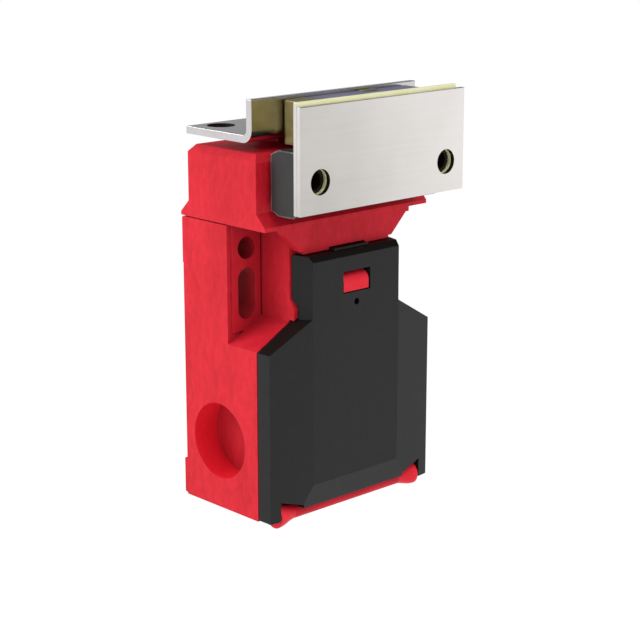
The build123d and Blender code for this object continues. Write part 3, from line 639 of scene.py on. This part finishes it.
bracketPlan = {"node": "guide_bracket", "name": "guideBracket", "body": "base", "edge": 0.15 * mm,
               "finish": "polishedSheet", "slot": "stainless"}
footHolePlan = {"spacing": 39.4 * mm, "back": -7.8 * mm, "reach": 3.4 * mm, "finish": "paintedBoreShade"}
guideBracket = fromNode(bracketPlan)
footHoles = [Vector((side * footHolePlan["spacing"] / 2, footHolePlan["back"], 0)) for side in (-1, 1)]
# painted shade on the walls of the foot's holes
finishBores(guideBracket, footHoles, footHolePlan["reach"], footHolePlan["finish"], along=2)
print("bracket made")

# Inner works

innerPlans = [
    {"node": "contact_block", "name": "contactBlock", "body": "base", "edge": 0.15 * mm,
     "finish": "ivoryPlastic", "slot": "light_plastic"},
    {"node": "fixed_contacts", "name": "contactStrips", "body": "base", "edge": 0.08 * mm,
     "finish": "brass", "slot": "brass_parts"},
    {"node": "terminal_clamps", "name": "clampPlates", "body": "base", "edge": 0.1 * mm,
     "finish": "zincSteel", "slot": "steel"},
    {"node": "terminal_screws", "name": "terminalScrews", "body": "base", "edge": 0.1 * mm,
     "finish": "zincSteel", "slot": "steel"},
    {"node": "block_screws", "name": "blockScrews", "body": "base", "edge": 0.1 * mm,
     "finish": "zincSteel", "slot": "steel"},
    {"node": "head_screws", "name": "headScrews", "body": "base", "edge": 0.1 * mm,
     "finish": "zincSteel", "slot": "steel"},
    {"node": "earth_plate", "name": "earthTerminal", "body": "base", "edge": 0.1 * mm,
     "finish": "brass", "slot": "brass_parts"},
    {"node": "earth_screw", "name": "earthScrew", "body": "base", "edge": 0.1 * mm,
     "finish": "zincSteel", "slot": "steel"},
    {"node": "cam_pin", "name": "camAxle", "body": "base", "edge": 0.15 * mm,
     "finish": "toolSteel", "slot": "steel"},
    {"node": "cam_spacers", "name": "camSleeves", "body": "base", "edge": 0.1 * mm,
     "finish": "ivoryPlastic", "slot": "light_plastic"},
    {"node": "cam", "name": "camDisc", "body": "cam", "edge": 0.15 * mm,
     "finish": "ivoryPlastic", "slot": "light_plastic"},
    {"node": "plunger", "name": "plungerStem", "body": "plunger", "edge": 0.1 * mm,
     "finish": "ivoryPlastic", "slot": "light_plastic"},
    {"node": "contact_bridge", "name": "contactBridge", "body": "plunger", "edge": 0.08 * mm,
     "finish": "brass", "slot": "brass_parts"},
    {"node": "carrier_screws", "name": "carrierScrews", "body": "actuator", "edge": 0.12 * mm,
     "finish": "zincSteel", "slot": "steel"},
    {"node": "tongue_pin", "name": "rollPin", "body": "actuator", "edge": 0.1 * mm,
     "finish": "toolSteel", "slot": "steel"},
    {"node": "bracket_screw", "name": "bracketScrew", "body": "base", "edge": 0.15 * mm,
     "finish": "zincSteel", "slot": "steel"},
]
for plan in innerPlans:
    fromNode(plan)

# the stroke is a hair more than the plunger's travel, so that its collar never cuts into the spring
springPlan = {"node": "plunger_spring", "name": "returnSpring", "body": "base",
              "finish": "toolSteel", "slot": "steel", "stroke": 3.05 * mm}
returnSpring = fromNode(springPlan)
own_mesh(returnSpring)
print("inner works made")


# Floor, light and camera

worldPlan = {"skyShare": 0.76, "zenith": 0.07, "fadeStart": 0.0, "fadeEnd": 0.24}
lampPlans = [
    {"name": "keyLamp", "place": (-0.46, 0.38, 0.28), "size": 0.35, "power": 2.0},
    {"name": "fillLamp", "place": (-0.05, -0.45, 0.70), "size": 0.6, "power": 1.8},
]
floorPlan = {"size": 3.0, "drop": 32 * mm, "deep": linear(238, 238, 237), "pale": linear(243, 243, 242),
             "fibreScale": 600, "whiteShare": 0.92, "glow": 1.04}
cameraPlan = {"place": (-0.27450, -0.31139, 0.08458), "turn": (75.318, 0, -43.295), "lens": 97.34,
              "sensor": 36}
white = (1, 1, 1, 1)


def aimedLamp(plan):
    # a square lamp that looks at the origin
    data = bpy.data.lights.new(plan["name"], "AREA")
    data.shape = "SQUARE"
    data.size = plan["size"]
    data.energy = plan["power"]
    lamp = bpy.data.objects.new(plan["name"], data)
    bpy.context.scene.collection.objects.link(lamp)
    lamp.location = plan["place"]
    lamp.rotation_euler = (-Vector(plan["place"])).to_track_quat("-Z", "Y").to_euler()


def makeWorld(plan):
    # a soft even sky for the object, and white for the camera
    world = bpy.data.worlds.new("studio")
    bpy.context.scene.world = world
    recipe = Recipe(world)
    path = recipe.node("ShaderNodeLightPath", {}, {})
    byCamera = path.out("Is Camera Ray")
    seen = byCamera.either(path.out("Is Glossy Ray")).either(path.out("Is Transmission Ray"))
    # what polished metal sees grows darker towards the ceiling
    rise = recipe.node("ShaderNodeSeparateXYZ", {}, {0: recipe.coordinates.out("Generated")}).out("Z")
    fade = recipe.between(rise, plan["fadeStart"], plan["fadeEnd"], atLow=1, atHigh=plan["zenith"])
    sky = recipe.node("ShaderNodeBackground", {}, {"Color": white, "Strength": plan["skyShare"]}).out(0)
    studio = recipe.node("ShaderNodeBackground", {},
                         {"Color": white, "Strength": fade.either(byCamera)}).out(0)
    mixed = recipe.node("ShaderNodeMixShader", {}, {0: seen, 1: sky, 2: studio}).out(0)
    recipe.node("ShaderNodeOutputWorld", {}, {"Surface": mixed})


def makeFloor(plan):
    # lower than the switch's foot, because the open cover swings below the foot
    clearSelection()
    bpy.ops.mesh.primitive_plane_add(size=plan["size"], location=(0, 0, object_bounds()[0].z - plan["drop"]))
    floor = bpy.context.object
    floor.name = "floor"
    recipe = Recipe(bpy.data.materials.new("floorPaper"))
    path = recipe.node("ShaderNodeLightPath", {}, {})
    seen = path.out("Is Camera Ray").either(path.out("Is Glossy Ray"))
    fibre = recipe.noise(plan["fibreScale"], detail=3, roughness=0.6)
    colour = recipe.mix(fibre, plan["deep"], plan["pale"])
    paper = recipe.node("ShaderNodeBsdfDiffuse", {}, {"Color": colour}).out(0)
    bright = recipe.node("ShaderNodeEmission", {}, {"Color": white, "Strength": plan["glow"]}).out(0)
    mixed = recipe.node("ShaderNodeMixShader", {},
                        {0: seen * plan["whiteShare"], 1: paper, 2: bright}).out(0)
    recipe.node("ShaderNodeOutputMaterial", {}, {"Surface": mixed})
    floor.data.materials.append(recipe.owner)
    floor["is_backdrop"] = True


makeFloor(floorPlan)
makeWorld(worldPlan)
for plan in lampPlans:
    aimedLamp(plan)

cameraData = bpy.data.cameras.new("photoCamera")
cameraData.lens = cameraPlan["lens"]
cameraData.sensor_width = cameraPlan["sensor"]
camera = bpy.data.objects.new("photoCamera", cameraData)
bpy.context.scene.collection.objects.link(camera)
camera.location = cameraPlan["place"]
camera.rotation_euler = [radians(a) for a in cameraPlan["turn"]]
bpy.context.scene.camera = camera
bpy.context.scene.view_settings.view_transform = "Standard"
print("light and camera set")
